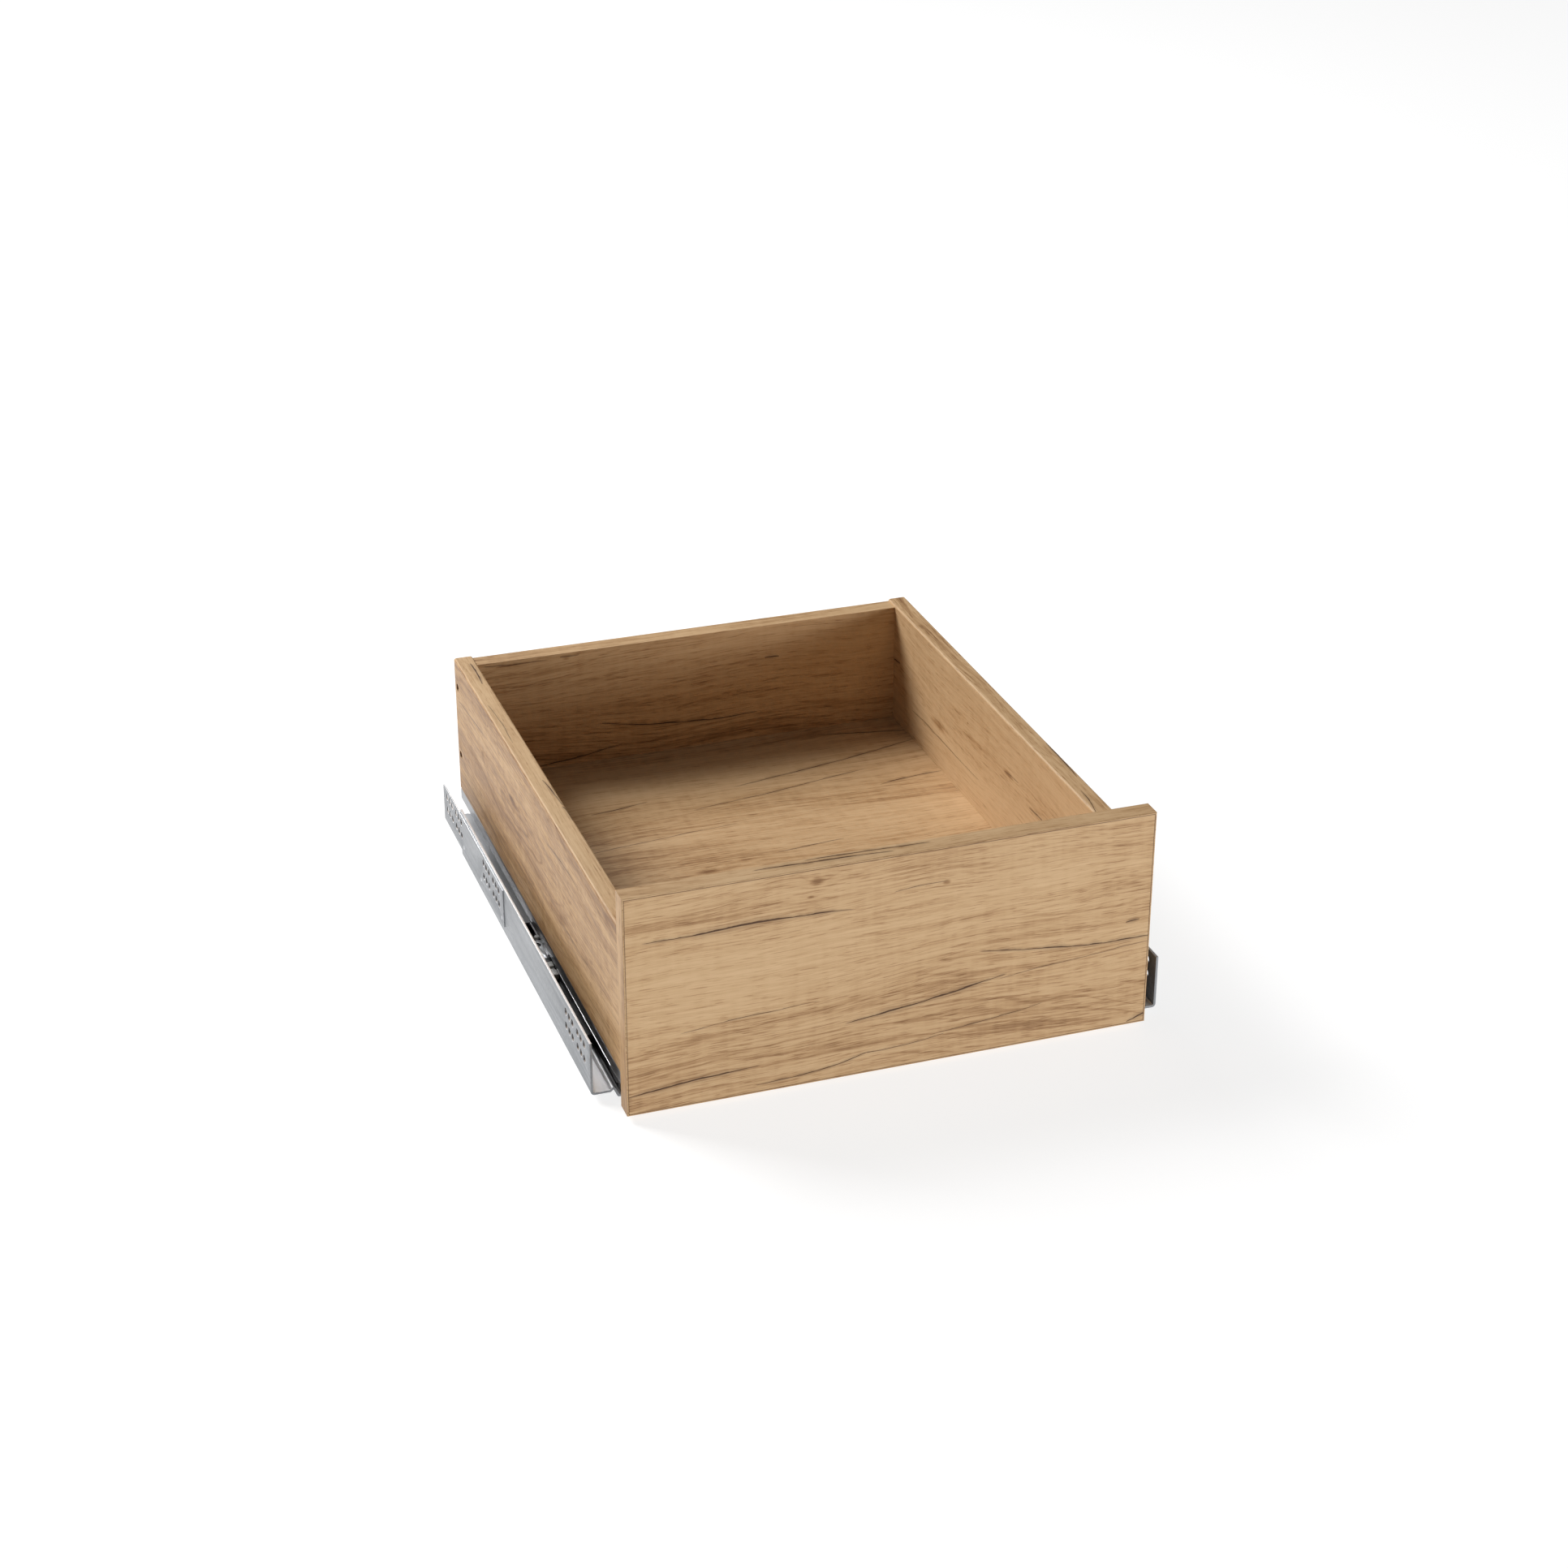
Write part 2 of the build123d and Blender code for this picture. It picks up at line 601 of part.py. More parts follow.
def anchor_tongue(front):
    """Bent steel tongue behind the housing, with a round cut where the collar's stem passes."""
    back = front + COLLAR_V - 5.5
    near = front + HOUSING_BACK + 0.4
    low = TONGUE_TOP - TONGUE_T
    plate = block(TONGUE_U, (near, back), (low, TONGUE_TOP))
    plate = plate - rod((-1.4, back - 7.0, low - 1.0), TONGUE_CUT_R, 4.0, "z")
    plate = chamfer(plate.edges().filter_by(Axis.Z).sort_by(Axis.X)[-2:], TONGUE_T)
    bend = TONGUE_U[0] + TONGUE_T
    leg = block((TONGUE_U[0], bend), (near, back), (RAIL_T, low + FIT))
    foot = block((TONGUE_FOOT, bend), (near, back), (RAIL_T, RAIL_T + TONGUE_T))
    return plate + leg + foot


def closing_buffer(front):
    """Rubber plug in the front end of the rail's post, a little proud of it."""
    u = (POST_U + RAIL_T, POST_U + POST_W - RAIL_T)
    top = POST_TOP - RAIL_T
    plug = block(u, (front - BUFFER_PROUD, front + BUFFER_L), (top - 7.0, top))
    return fillet(plug.edges().filter_by(Axis.Y), 0.9)


# ---------------------------------------------------------------- ball cage and balls
BALL_ROWS = {  # row: across, up, direction in which its pockets pass through the cage
    "outside": (POST_U - BALL_GAP / 2, 18.9, "x"),
    "above": (POST_U + POST_W / 2, POST_TOP + BALL_GAP / 2, "z"),
    "inside": (POST_U + POST_W + BALL_GAP / 2, 15.0, "x"),
    "below": (POST_U + POST_W - RAIL_T / 2, LEG_LOW - BALL_GAP / 2, "z"),
}


def ball_steps(front):
    """Places of the balls along a row."""
    first = front + CAGE_BACK + 10.0
    pitch = (CAGE_L - 20.0) / (BALLS_PER_ROW - 1)
    return [first + pitch * k for k in range(BALLS_PER_ROW)]


def ball_set(front):
    """One row of balls each outside, above, inside and below the post."""
    rows = BALL_ROWS.values()
    return [Pos(u, v, w) * Sphere(BALL_D / 2) for u, w, _ in rows for v in ball_steps(front)]


def ball_cage(front):
    """Black plastic strip bent round the post, with a pocket for every ball."""
    left = POST_U - BALL_GAP / 2
    right = POST_U + POST_W + BALL_GAP / 2
    top = POST_TOP + BALL_GAP / 2
    low = LEG_LOW - BALL_GAP / 2
    path = [(left, -0.6), (left, top), (right, top), (right, low), (POST_U + 4.6, low)]
    start = front + CAGE_BACK
    body = bent_sheet(path, 1.2, CAGE_T, (start, start + CAGE_L))
    for u, w, through in BALL_ROWS.values():
        shift = {"x": (-1.5, 0), "z": (0, -1.5)}[through]
        for v in ball_steps(front):
            body = body - rod((u + shift[0], v, w + shift[1]), BALL_D / 2 + 0.1, 3.0, through)
    return body


# ---------------------------------------------------------------- write every piece
if __name__ == "__main__":
    save("front_panel", place(front_panel()))
    save("front_edge_bands", place(group(front_edge_bands())))
    save("back_panel", place(back_panel()))
    save("bottom_panel", place(bottom_panel()))
    save_same("side_panel", side_panel())
    screws = [connecting_screw(w) for w in SCREW_W]
    save("connecting_screws", place(group(screws + mirrored(screws))))
    save("corner_dowels", place(group(side_dowels() + mirrored(side_dowels()))))
    save("bottom_dowels", place(group(bottom_dowels() + mirrored(bottom_dowels()) + front_dowels())))
    save("cam_housings", place(group([cam_housing()] + mirrored([cam_housing()]))))
    save("cam_bolts", place(group([cam_bolt()] + mirrored([cam_bolt()]))))
    save_same("drawer_profile", drawer_profile())
    save_same("profile_screws", group(profile_screws()))
    save_same("rear_hook", rear_hook())
    save_same("activator", activator())
    save_same("front_coupling", front_coupling())
    save_same("lever_pin", lever_pin())
    save_same("release_lever", release_lever())
    fronts = (LEFT_RAIL_FRONT, RIGHT_RAIL_FRONT)
    rail_pieces = {
        "cabinet_rail": cabinet_rail,
        "rear_bracket": rear_bracket,
        "soft_close_housing": soft_close_housing,
        "soft_close_slider": soft_close_slider,
        "damper_cylinder": damper_cylinder,
        "soft_close_spring": soft_close_spring,
        "damper_rod": damper_rod,
        "rod_collar": rod_collar,
        "anchor_tongue": anchor_tongue,
        "closing_buffer": closing_buffer,
        "ball_cage": ball_cage,
    }
    for name, make in rail_pieces.items():
        save_pair(name, *[make(front) for front in fronts])
    save_pair("bracket_rivets", *[group(bracket_rivets(front)) for front in fronts])
    save_pair("ball_set", *[group(ball_set(front)) for front in fronts])
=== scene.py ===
import math
import bpy
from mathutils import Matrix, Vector


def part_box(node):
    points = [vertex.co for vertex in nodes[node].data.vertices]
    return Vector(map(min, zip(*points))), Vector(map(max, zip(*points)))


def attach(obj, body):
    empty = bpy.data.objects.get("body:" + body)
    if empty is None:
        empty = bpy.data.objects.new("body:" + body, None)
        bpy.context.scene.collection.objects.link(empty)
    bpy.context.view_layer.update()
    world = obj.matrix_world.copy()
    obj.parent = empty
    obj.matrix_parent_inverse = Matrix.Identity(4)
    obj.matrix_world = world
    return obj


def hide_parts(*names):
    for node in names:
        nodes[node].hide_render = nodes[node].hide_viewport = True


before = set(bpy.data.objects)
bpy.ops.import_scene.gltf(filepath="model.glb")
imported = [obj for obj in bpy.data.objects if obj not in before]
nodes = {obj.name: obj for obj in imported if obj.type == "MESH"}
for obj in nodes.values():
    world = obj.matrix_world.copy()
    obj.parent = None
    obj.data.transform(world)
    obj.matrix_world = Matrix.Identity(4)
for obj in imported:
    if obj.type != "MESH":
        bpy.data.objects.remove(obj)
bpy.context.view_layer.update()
bpy.ops.object.select_all(action="DESELECT")


# ---------------------------------------------------------------- camera
# A short telephoto looking down on the drawer from its front left corner, level from side to
# side and sharp at every distance.
LENS, SENSOR_WIDTH, FAR_CLIP = 69.05, 36.0, 60.0
CAMERA_PLACE = (-0.70896, -2.05545, 1.20651)
LOOK_DOWN, TURN_RIGHT = 0.4626, 0.3333

camera_data = bpy.data.cameras.new("camera")
camera_data.lens = LENS
camera_data.sensor_width = SENSOR_WIDTH
camera_data.clip_end = FAR_CLIP
camera = bpy.data.objects.new("camera", camera_data)
camera.location = CAMERA_PLACE
camera.rotation_euler = (math.pi / 2 - LOOK_DOWN, 0.0, -TURN_RIGHT)
bpy.context.scene.collection.objects.link(camera)
bpy.context.scene.camera = camera
bpy.context.scene.view_settings.view_transform = "Standard"


# ---------------------------------------------------------------- floor and lights
# A plain pale floor, lit a little from within like a light table. A soft key hangs high behind
# the left side, a long low panel fills the front, a small lamp behind shines down along the
# left rail, and a weak even light comes from all round.
FLOOR_HALF = 16.0
FLOOR_GREY, FLOOR_ROUGH, FLOOR_SHINE, FLOOR_GLOW = 0.32, 0.9, 0.1, 0.80
WORLD_GLOW = 0.12
WHITE = (1.0, 1.0, 1.0, 1.0)

bpy.ops.mesh.primitive_plane_add(size=2 * FLOOR_HALF, location=(0.0, 0.0, 0.0))
floor = bpy.context.object
floor.name = "studio_floor"
paint = bpy.data.materials.new("studio_paint")
paint.use_nodes = True
floor_shader = paint.node_tree.nodes["Principled BSDF"]
floor_shader.inputs["Base Color"].default_value = (FLOOR_GREY, FLOOR_GREY, FLOOR_GREY, 1.0)
floor_shader.inputs["Roughness"].default_value = FLOOR_ROUGH
floor_shader.inputs["Specular IOR Level"].default_value = FLOOR_SHINE
floor_shader.inputs["Emission Color"].default_value = WHITE
floor_shader.inputs["Emission Strength"].default_value = FLOOR_GLOW
floor.data.materials.append(paint)

LIGHTS = {  # name: place, aim, width, height, power in watts
    "key": ((-2.2, 2.5, 2.95), (0.0, 0.0, 0.1), 2.0, 2.0, 216.0),
    "front_fill": ((1.9, -2.8, 0.38), (0.0, 0.0, 0.1), 2.0, 0.55, 52.0),
    "rim": ((-0.24, 2.8, 2.1), (-0.2, 0.1, 0.0), 0.5, 0.5, 14.0),
}
for name, (place, aim, width, height, power) in LIGHTS.items():
    data = bpy.data.lights.new(name, "AREA")
    data.shape = "RECTANGLE"
    data.size, data.size_y, data.energy = width, height, power
    lamp = bpy.data.objects.new(name, data)
    lamp.location = place
    lamp.rotation_euler = (Vector(aim) - Vector(place)).to_track_quat("-Z", "Y").to_euler()
    bpy.context.scene.collection.objects.link(lamp)

world = bpy.data.worlds.new("studio")
world.use_nodes = True
world.node_tree.nodes["Background"].inputs["Color"].default_value = WHITE
world.node_tree.nodes["Background"].inputs["Strength"].default_value = WORLD_GLOW
bpy.context.scene.world = world


# ---------------------------------------------------------------- front panel
# A 16 mm chipboard panel faced with printed oak laminate, its grain running from side to side.
# The glue line of the edge bands shows as a thin dark line round its face.
OAK_TONES = (  # place on the ramp, colour
    (0.18, (0.205, 0.097, 0.036, 1.0)),
    (0.40, (0.432, 0.252, 0.116, 1.0)),
    (0.55, (0.550, 0.352, 0.181, 1.0)),
    (0.80, (0.655, 0.450, 0.252, 1.0)),
)
SPLIT_BROWN = (0.074, 0.032, 0.012, 1.0)
MIDDLE_TONE = 0.575
# The print's place across the grain is moved this far on each kind of face, in metres, so that no
# two faces of a board carry the same piece of it.
BACK_FACE, TOP_FACE, END_FACE, END_RUN = 2.0, 5.0, 8.0, 3.0
FACES_AXIS = 0.7  # a face looks along an axis when its normal has this much of it
RING_PHASE, RING_WANDER = 520.0, 26.0  # radians of the ring wave to the metre, and its drift
OAK_SHINE = 0.32


def new_finish(name):
    """A material with its node tree and its shader."""
    material = bpy.data.materials.new(name)
    material.use_nodes = True
    return material, material.node_tree, material.node_tree.nodes["Principled BSDF"]


def wire(tree, value, socket):
    """Links a socket, or sets a plain value."""
    if isinstance(value, bpy.types.NodeSocket):
        tree.links.new(value, socket)
    else:
        socket.default_value = value


def work(tree, operation, *values):
    """A maths node on up to three values."""
    node = tree.nodes.new("ShaderNodeMath")
    node.operation = operation
    for value, socket in zip(values, node.inputs):
        wire(tree, value, socket)
    return node.outputs[0]


def plus(tree, first, *others):
    """The values added up, from left to right."""
    for other in others:
        first = work(tree, "ADD", first, other)
    return first


def times(tree, first, *others):
    """The values multiplied together, from left to right."""
    for other in others:
        first = work(tree, "MULTIPLY", first, other)
    return first


def minus(tree, first, second):
    """The first value less the second."""
    return work(tree, "SUBTRACT", first, second)


def size_of(tree, value):
    """The value without its sign."""
    return work(tree, "ABSOLUTE", value)


def reach_of(tree, first, second):
    """The long side of the right triangle with these two sides."""
    squares = [work(tree, "POWER", value, 2.0) for value in (first, second)]
    return work(tree, "SQRT", plus(tree, *squares))


def parts_of(tree, vector, axes=(0, 1, 2)):
    """The numbers of a vector on the axes asked for."""
    node = tree.nodes.new("ShaderNodeSeparateXYZ")
    wire(tree, vector, node.inputs[0])
    return [node.outputs[axis] for axis in axes]


def vector_of(tree, *values):
    """A vector from up to three values."""
    node = tree.nodes.new("ShaderNodeCombineXYZ")
    for value, socket in zip(values, node.inputs):
        wire(tree, value, socket)
    return node.outputs[0]


def ease(tree, value, low, high, start=0.0, end=1.0):
    """A smooth step from start to end as the value goes from low to high."""
    node = tree.nodes.new("ShaderNodeMapRange")
    node.interpolation_type = "SMOOTHSTEP"
    for socket, item in zip(node.inputs, (value, low, high, start, end)):
        wire(tree, item, socket)
    return node.outputs["Result"]


def choose(tree, share, first, second):
    """The first value where share is 0 and the second where it is 1."""
    node = tree.nodes.new("ShaderNodeMix")
    sockets = (node.inputs[0], node.inputs[2], node.inputs[3])
    for socket, item in zip(sockets, (share, first, second)):
        wire(tree, item, socket)
    return node.outputs[0]


def tint(tree, share, first, second):
    """The first colour where share is 0 and the second where it is 1."""
    node = tree.nodes.new("ShaderNodeMix")
    node.data_type = "RGBA"
    sockets = (node.inputs[0], node.inputs[6], node.inputs[7])
    for socket, item in zip(sockets, (share, first, second)):
        wire(tree, item, socket)
    return node.outputs[2]


def cloud(tree, place, scale, detail=3.0, rough=0.5):
    """Noise whose spots are 1/scale metres long on each of the three axes."""
    stretch = tree.nodes.new("ShaderNodeVectorMath")
    stretch.operation = "MULTIPLY"
    wire(tree, place, stretch.inputs[0])
    stretch.inputs[1].default_value = scale
    noise = tree.nodes.new("ShaderNodeTexNoise")
    tree.links.new(stretch.outputs[0], noise.inputs["Vector"])
    for key, value in (("Scale", 1.0), ("Detail", detail), ("Roughness", rough)):
        noise.inputs[key].default_value = value
    return noise.outputs[0]


def relief(tree, shader, height, strength, depth):
    """A bump on the shader from a height."""
    bump = tree.nodes.new("ShaderNodeBump")
    bump.inputs["Strength"].default_value = strength
    bump.inputs["Distance"].default_value = depth
    wire(tree, height, bump.inputs["Height"])
    tree.links.new(bump.outputs["Normal"], shader.inputs["Normal"])


def split_group():
    """One drying split of the printed oak: a tapering, slightly wandering dark line."""
    tree = bpy.data.node_groups.new("oak_split", "ShaderNodeTree")
    names = ("Along", "Across", "Wander", "Jag", "Start", "End", "From", "To", "Bow", "Width")
    for name in names:
        tree.interface.new_socket(name, in_out="INPUT", socket_type="NodeSocketFloat")
    tree.interface.new_socket("Mask", in_out="OUTPUT", socket_type="NodeSocketFloat")
    given = tree.nodes.new("NodeGroupInput").outputs

    # share runs from 0 to 1 along the split, and arch is 0 at both ends and 1 in the middle
    span = minus(tree, given["End"], given["Start"])
    share = work(tree, "DIVIDE", minus(tree, given["Along"], given["Start"]), span)
    share = work(tree, "MINIMUM", work(tree, "MAXIMUM", share, 0.0), 1.0)
    arch = times(tree, share, minus(tree, 1.0, share), 4.0)

    # the line that the split follows
    rise = times(tree, minus(tree, given["To"], given["From"]), share)
    line = plus(tree, given["From"], rise, times(tree, given["Bow"], arch))
    for wobble, swing in (("Wander", 0.009), ("Jag", 0.0016)):
        line = plus(tree, line, times(tree, minus(tree, given[wobble], 0.5), swing))
    away = size_of(tree, minus(tree, given["Across"], line))

    # its dark core and the paler stain along it
    taper = work(tree, "POWER", arch, 0.5)
    uneven = ease(tree, given["Jag"], 0.35, 0.65, 0.6, 1.35)
    half = times(tree, given["Width"], taper, uneven)
    core = ease(tree, away, times(tree, half, 0.35), half, 1.0, 0.0)
    stain = ease(tree, away, half, times(tree, half, 5.0), 0.22, 0.0)
    mask = times(tree, work(tree, "MAXIMUM", core, stain), ease(tree, arch, 0.0, 0.15))
    tree.links.new(mask, tree.nodes.new("NodeGroupOutput").inputs["Mask"])
    return tree


OAK_SPLIT = split_group()


def oak_laminate(name, axes, seed, heart, lean, splits=(), knots=(), border=None, rings=0.10,
                 shade=MIDDLE_TONE, slope=0.0, figure=1.0):
    """Printed oak on every face of a board. axes are the grain's axis, the axis across it and the
    board's thickness. heart is where the arches of the growth rings start, along and across, and
    lean is how fast they open. splits and knots are in metres, along and across the outer face.
    border is the outline of a glue line, and rings how strongly the growth rings show.
    shade is the middle tone painted on the board's front or left-hand face and its ends: darker
    than the rest as painted shade where that face is strongly lit, lighter as painted light where
    it lies in shade. slope is how much the grain climbs along the board, and figure how unruly it
    is."""
    material, tree, shader = new_finish(name)

    # which face this is, and the place on it along and across the grain
    coords = tree.nodes.new("ShaderNodeTexCoord")
    along, across, through = parts_of(tree, coords.outputs["Object"], axes)
    to_end, to_edge, to_back = parts_of(tree, coords.outputs["Normal"], axes)
    on_edge = work(tree, "GREATER_THAN", size_of(tree, to_edge), FACES_AXIS)
    on_end = work(tree, "GREATER_THAN", size_of(tree, to_end), FACES_AXIS)
    on_back = work(tree, "GREATER_THAN", to_back, 0.5)
    face = plus(tree, across, times(tree, on_back, BACK_FACE))
    face = choose(tree, on_edge, face, plus(tree, through, TOP_FACE))
    face = choose(tree, on_end, face, plus(tree, through, END_FACE))
    run = choose(tree, on_end, along, plus(tree, across, END_RUN))

    # the same place after the grain's own sway
    flat = vector_of(tree, run, face, seed)
    sway = cloud(tree, flat, (2.6, 6.0, 1.0), 2.0)
    drift = plus(tree, times(tree, sway, 0.050 * figure), times(tree, run, -slope))
    grown = plus(tree, face, drift)
    sheet = vector_of(tree, run, grown, seed)

    # the layers of the print, from the broadest to the finest
    broad = cloud(tree, sheet, (2.0, 13.0, 1.0), 2.0)
    bands = cloud(tree, sheet, (2.8, 85.0, 1.0), 3.0, 0.55)
    mottle = cloud(tree, sheet, (11.0, 60.0, 1.0), 4.0, 0.6)
    wander = cloud(tree, flat, (9.0, 14.0, 1.0), 3.0)
    jag = cloud(tree, flat, (55.0, 30.0, 1.0), 3.0, 0.6)
    grain = ease(tree, cloud(tree, sheet, (14.0, 520.0, 1.0), 4.0, 0.62), 0.34, 0.66)
    fibre = ease(tree, cloud(tree, sheet, (45.0, 1500.0, 1.0), 2.0), 0.34, 0.66)
    pores = ease(tree, cloud(tree, sheet, (70.0, 1100.0, 1.0), 1.0), 0.56, 0.68)
    flecks = cloud(tree, sheet, (150.0, 26.0, 1.0), 2.0)

    # each knot darkens its middle and bends the rings round it
    knot_dark = 0.0
    bend = times(tree, minus(tree, wander, 0.5), 0.030)
    for knot_along, knot_across, length, height in knots:
        off_along = work(tree, "DIVIDE", minus(tree, run, knot_along), length)
        off_across = work(tree, "DIVIDE", minus(tree, face, knot_across), height)
        reach = reach_of(tree, off_along, off_across)
        reach = plus(tree, reach, times(tree, minus(tree, mottle, 0.5), 1.6))
        bend = plus(tree, bend, ease(tree, reach, 0.0, 4.0, 2.2 * height, 0.0))
        knot_dark = plus(tree, knot_dark, ease(tree, reach, 0.2, 1.3, 0.8, 0.0))

    # the growth rings: thin dark lines at uneven distances from the heart
    up = plus(tree, minus(tree, grown, heart[1]), bend)
    on = times(tree, minus(tree, run, heart[0]), lean)
    ring = reach_of(tree, up, on)
    growth = vector_of(tree, ring, times(tree, run, 0.05))
    uneven = cloud(tree, growth, (55.0, 55.0, 1.0), 3.0, 0.6)
    turns = plus(tree, times(tree, ring, RING_PHASE), times(tree, uneven, RING_WANDER))
    wave = plus(tree, times(tree, work(tree, "SINE", turns), 0.5), 0.5)
    line = work(tree, "POWER", wave, 6.0)
    faint = times(tree, ease(tree, broad, 0.60, 0.40, 0.25, 1.0), rings)

    # all of it summed into one tone, and the tone turned into a colour
    # the front or left-hand face and the ends take shade: painted shade on the left board, painted
    # light on the right one; the other faces keep the middle tone
    plain = work(tree, "MAXIMUM", on_back, on_edge)
    tone = choose(tree, plain, shade, MIDDLE_TONE)
    layers = ((broad, 0.62), (bands, 0.37), (mottle, 0.23), (grain, 0.18), (fibre, 0.11),
              (flecks, 0.15))
    for layer, weight in layers:
        tone = plus(tree, tone, times(tree, minus(tree, layer, 0.5), weight))
    tone = minus(tree, tone, times(tree, minus(tree, line, 0.2), faint))
    # on_end darkens every end face: painted shade, set for the left end of the front that faces
    # the key
    for darker, weight in ((pores, 0.16), (knot_dark, 0.36), (on_end, 0.15)):
        tone = minus(tree, tone, times(tree, darker, weight))
    ramp = tree.nodes.new("ShaderNodeValToRGB")
    ramp.color_ramp.interpolation = "B_SPLINE"
    while len(ramp.color_ramp.elements) < len(OAK_TONES):
        ramp.color_ramp.elements.new(0.5)
    for stop, (position, colour) in zip(ramp.color_ramp.elements, OAK_TONES):
        stop.position, stop.color = position, colour
    wire(tree, tone, ramp.inputs[0])
    colour = ramp.outputs[0]

    # splits and the glue line over it
    dark = 0.0
    for start, end, low, high, bow, width in splits:
        split = tree.nodes.new("ShaderNodeGroup")
        split.node_tree = OAK_SPLIT
        values = (run, face, wander, jag, start, end, low, high, bow, width)
        for socket, value in zip(split.inputs, values):
            wire(tree, value, socket)
        dark = work(tree, "MAXIMUM", dark, split.outputs[0])
    if splits:
        colour = tint(tree, dark, colour, SPLIT_BROWN)
    if border:
        inside = []
        for value, (low, high) in zip((along, across), border):
            off_middle = size_of(tree, minus(tree, value, (low + high) / 2))
            inside.append(minus(tree, (high - low) / 2, off_middle))
        glue = ease(tree, work(tree, "MINIMUM", *inside), 0.0003, 0.0009, 0.75, 0.0)
        colour = tint(tree, glue, colour, SPLIT_BROWN)

    wire(tree, colour, shader.inputs["Base Color"])
    wire(tree, ease(tree, grain, 0.0, 1.0, 0.42, 0.54), shader.inputs["Roughness"])
    shader.inputs["Specular IOR Level"].default_value = OAK_SHINE
    hollow = plus(tree, times(tree, pores, 0.8), times(tree, dark, 0.4))
    relief(tree, shader, minus(tree, times(tree, grain, 0.5), hollow), 0.35, 0.00012)
    return material


def give(node_names, material):
    """Puts a finish on CAD nodes that keep their own shape."""
    for node_name in node_names:
        mesh = nodes[node_name].data
        mesh.materials.clear()
        mesh.materials.append(material)


front_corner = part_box("front_edge_bands")[0]
LEFT_U, LOW_W = front_corner.x, front_corner.z


def front_split(start, end, low, high, bow=0.0, width=0.5):
    """A split by its millimetres from the front's lower left corner."""
    return (LEFT_U + start / 1000, LEFT_U + end / 1000, LOW_W + low / 1000, LOW_W + high / 1000,
            bow / 1000, width / 1000)


FRONT_SPLITS = [
    front_split(12, 178, 142, 141, 3, 0.95), front_split(274, 422, 87, 77, -3, 0.85),
    front_split(168, 300, 47, 64, -1, 0.95), front_split(-4, 104, 15, 24, 2, 0.8),
    front_split(98, 190, 7, 19, -3, 0.55), front_split(180, 250, 18, 23, -1, 0.45),
    front_split(395, 407, 92, 93, 0, 0.6), front_split(206, 250, 150, 152, 1, 0.3),
    front_split(400, 420, 3, 9, 0, 0.7), front_split(40, 150, 62, 70, 1, 0.28),
    front_split(290, 420, 60, 72, 2, 0.25), front_split(236, 330, 24, 34, -1, 0.35),
]
FRONT_KNOTS = [  # along, across, length, height
    (LEFT_U + 0.147, LOW_W + 0.170, 0.006, 0.0035),
    (LEFT_U + 0.142, LOW_W + 0.158, 0.003, 0.0015),
    (LEFT_U + 0.248, LOW_W + 0.152, 0.003, 0.0018),
]
panel_low, panel_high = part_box("front_panel")
FRONT_BORDER = ((panel_low.x, panel_high.x), (panel_low.z, panel_high.z))
front_oak = oak_laminate("front_oak", (0, 2, 1), 1.3, (LEFT_U + 0.06, LOW_W - 0.03), 0.16,
                         FRONT_SPLITS, FRONT_KNOTS, FRONT_BORDER, rings=0.14, slope=0.02)
give(["front_panel"], front_oak)


# ---------------------------------------------------------------- edge bands of the front
# Four 1 mm strips of the same print glued over the raw edges of the front panel, their outer
# edges scraped round.
BAND_SPLITS = [
    (LEFT_U + 0.10, LEFT_U + 0.21, TOP_FACE - 0.247, TOP_FACE - 0.2505, 0.001, 0.0010),
    (LEFT_U + 0.14, LEFT_U + 0.24, TOP_FACE - 0.2435, TOP_FACE - 0.2475, 0.001, 0.0008),
]
band_oak = oak_laminate("band_oak", (0, 2, 1), 2.9, (LEFT_U, LOW_W - 0.5), 0.1, BAND_SPLITS)
give(["front_edge_bands"], band_oak)


# ---------------------------------------------------------------- side panels
# 16 mm boards wrapped in the laminate over a 2 mm rounded top edge, with the grain from front to
# back. The outer print of the left one shows the arches of a flat-sawn plank round a small knot.
left_low, left_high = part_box("left_side_panel")
SIDE_BACK, SIDE_FOOT = left_high.y, left_low.z
LEFT_IN, RIGHT_IN = left_high.x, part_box("right_side_panel")[0].x


def side_split(ahead, end, low, high, bow=0.0, width=0.5):
    """A split by its millimetres ahead of a side's rear end and up from its foot."""
    return (SIDE_BACK - end / 1000, SIDE_BACK - ahead / 1000, SIDE_FOOT + high / 1000,
            SIDE_FOOT + low / 1000, bow / 1000, width / 1000)


def top_split(ahead, end, across, drift, width):
    """A split in a side's top edge, by its distance ahead of the rear end and its place across."""
    return (SIDE_BACK - end / 1000, SIDE_BACK - ahead / 1000, TOP_FACE + across + drift,
            TOP_FACE + across, 0.001, width / 1000)


left_splits = [
    side_split(300, 395, 92, 99, 1, 0.5), side_split(4, 110, 86, 96, 1, 0.3),
    side_split(180, 196, 78, 78, 0, 0.5), side_split(330, 480, 40, 46, 2, 0.3),
    top_split(14, 60, LEFT_IN - 0.006, 0.001, 0.8),
    top_split(250, 300, LEFT_IN - 0.005, 0.003, 0.6),
    top_split(300, 326, LEFT_IN - 0.003, 0.001, 0.9),
    top_split(100, 180, LEFT_IN - 0.011, 0.002, 0.3),
]
left_knots = [
    (SIDE_BACK - 0.192, SIDE_FOOT + 0.078, 0.011, 0.0035),
    (SIDE_BACK - 0.115, SIDE_FOOT + 0.110, 0.002, 0.001),
]
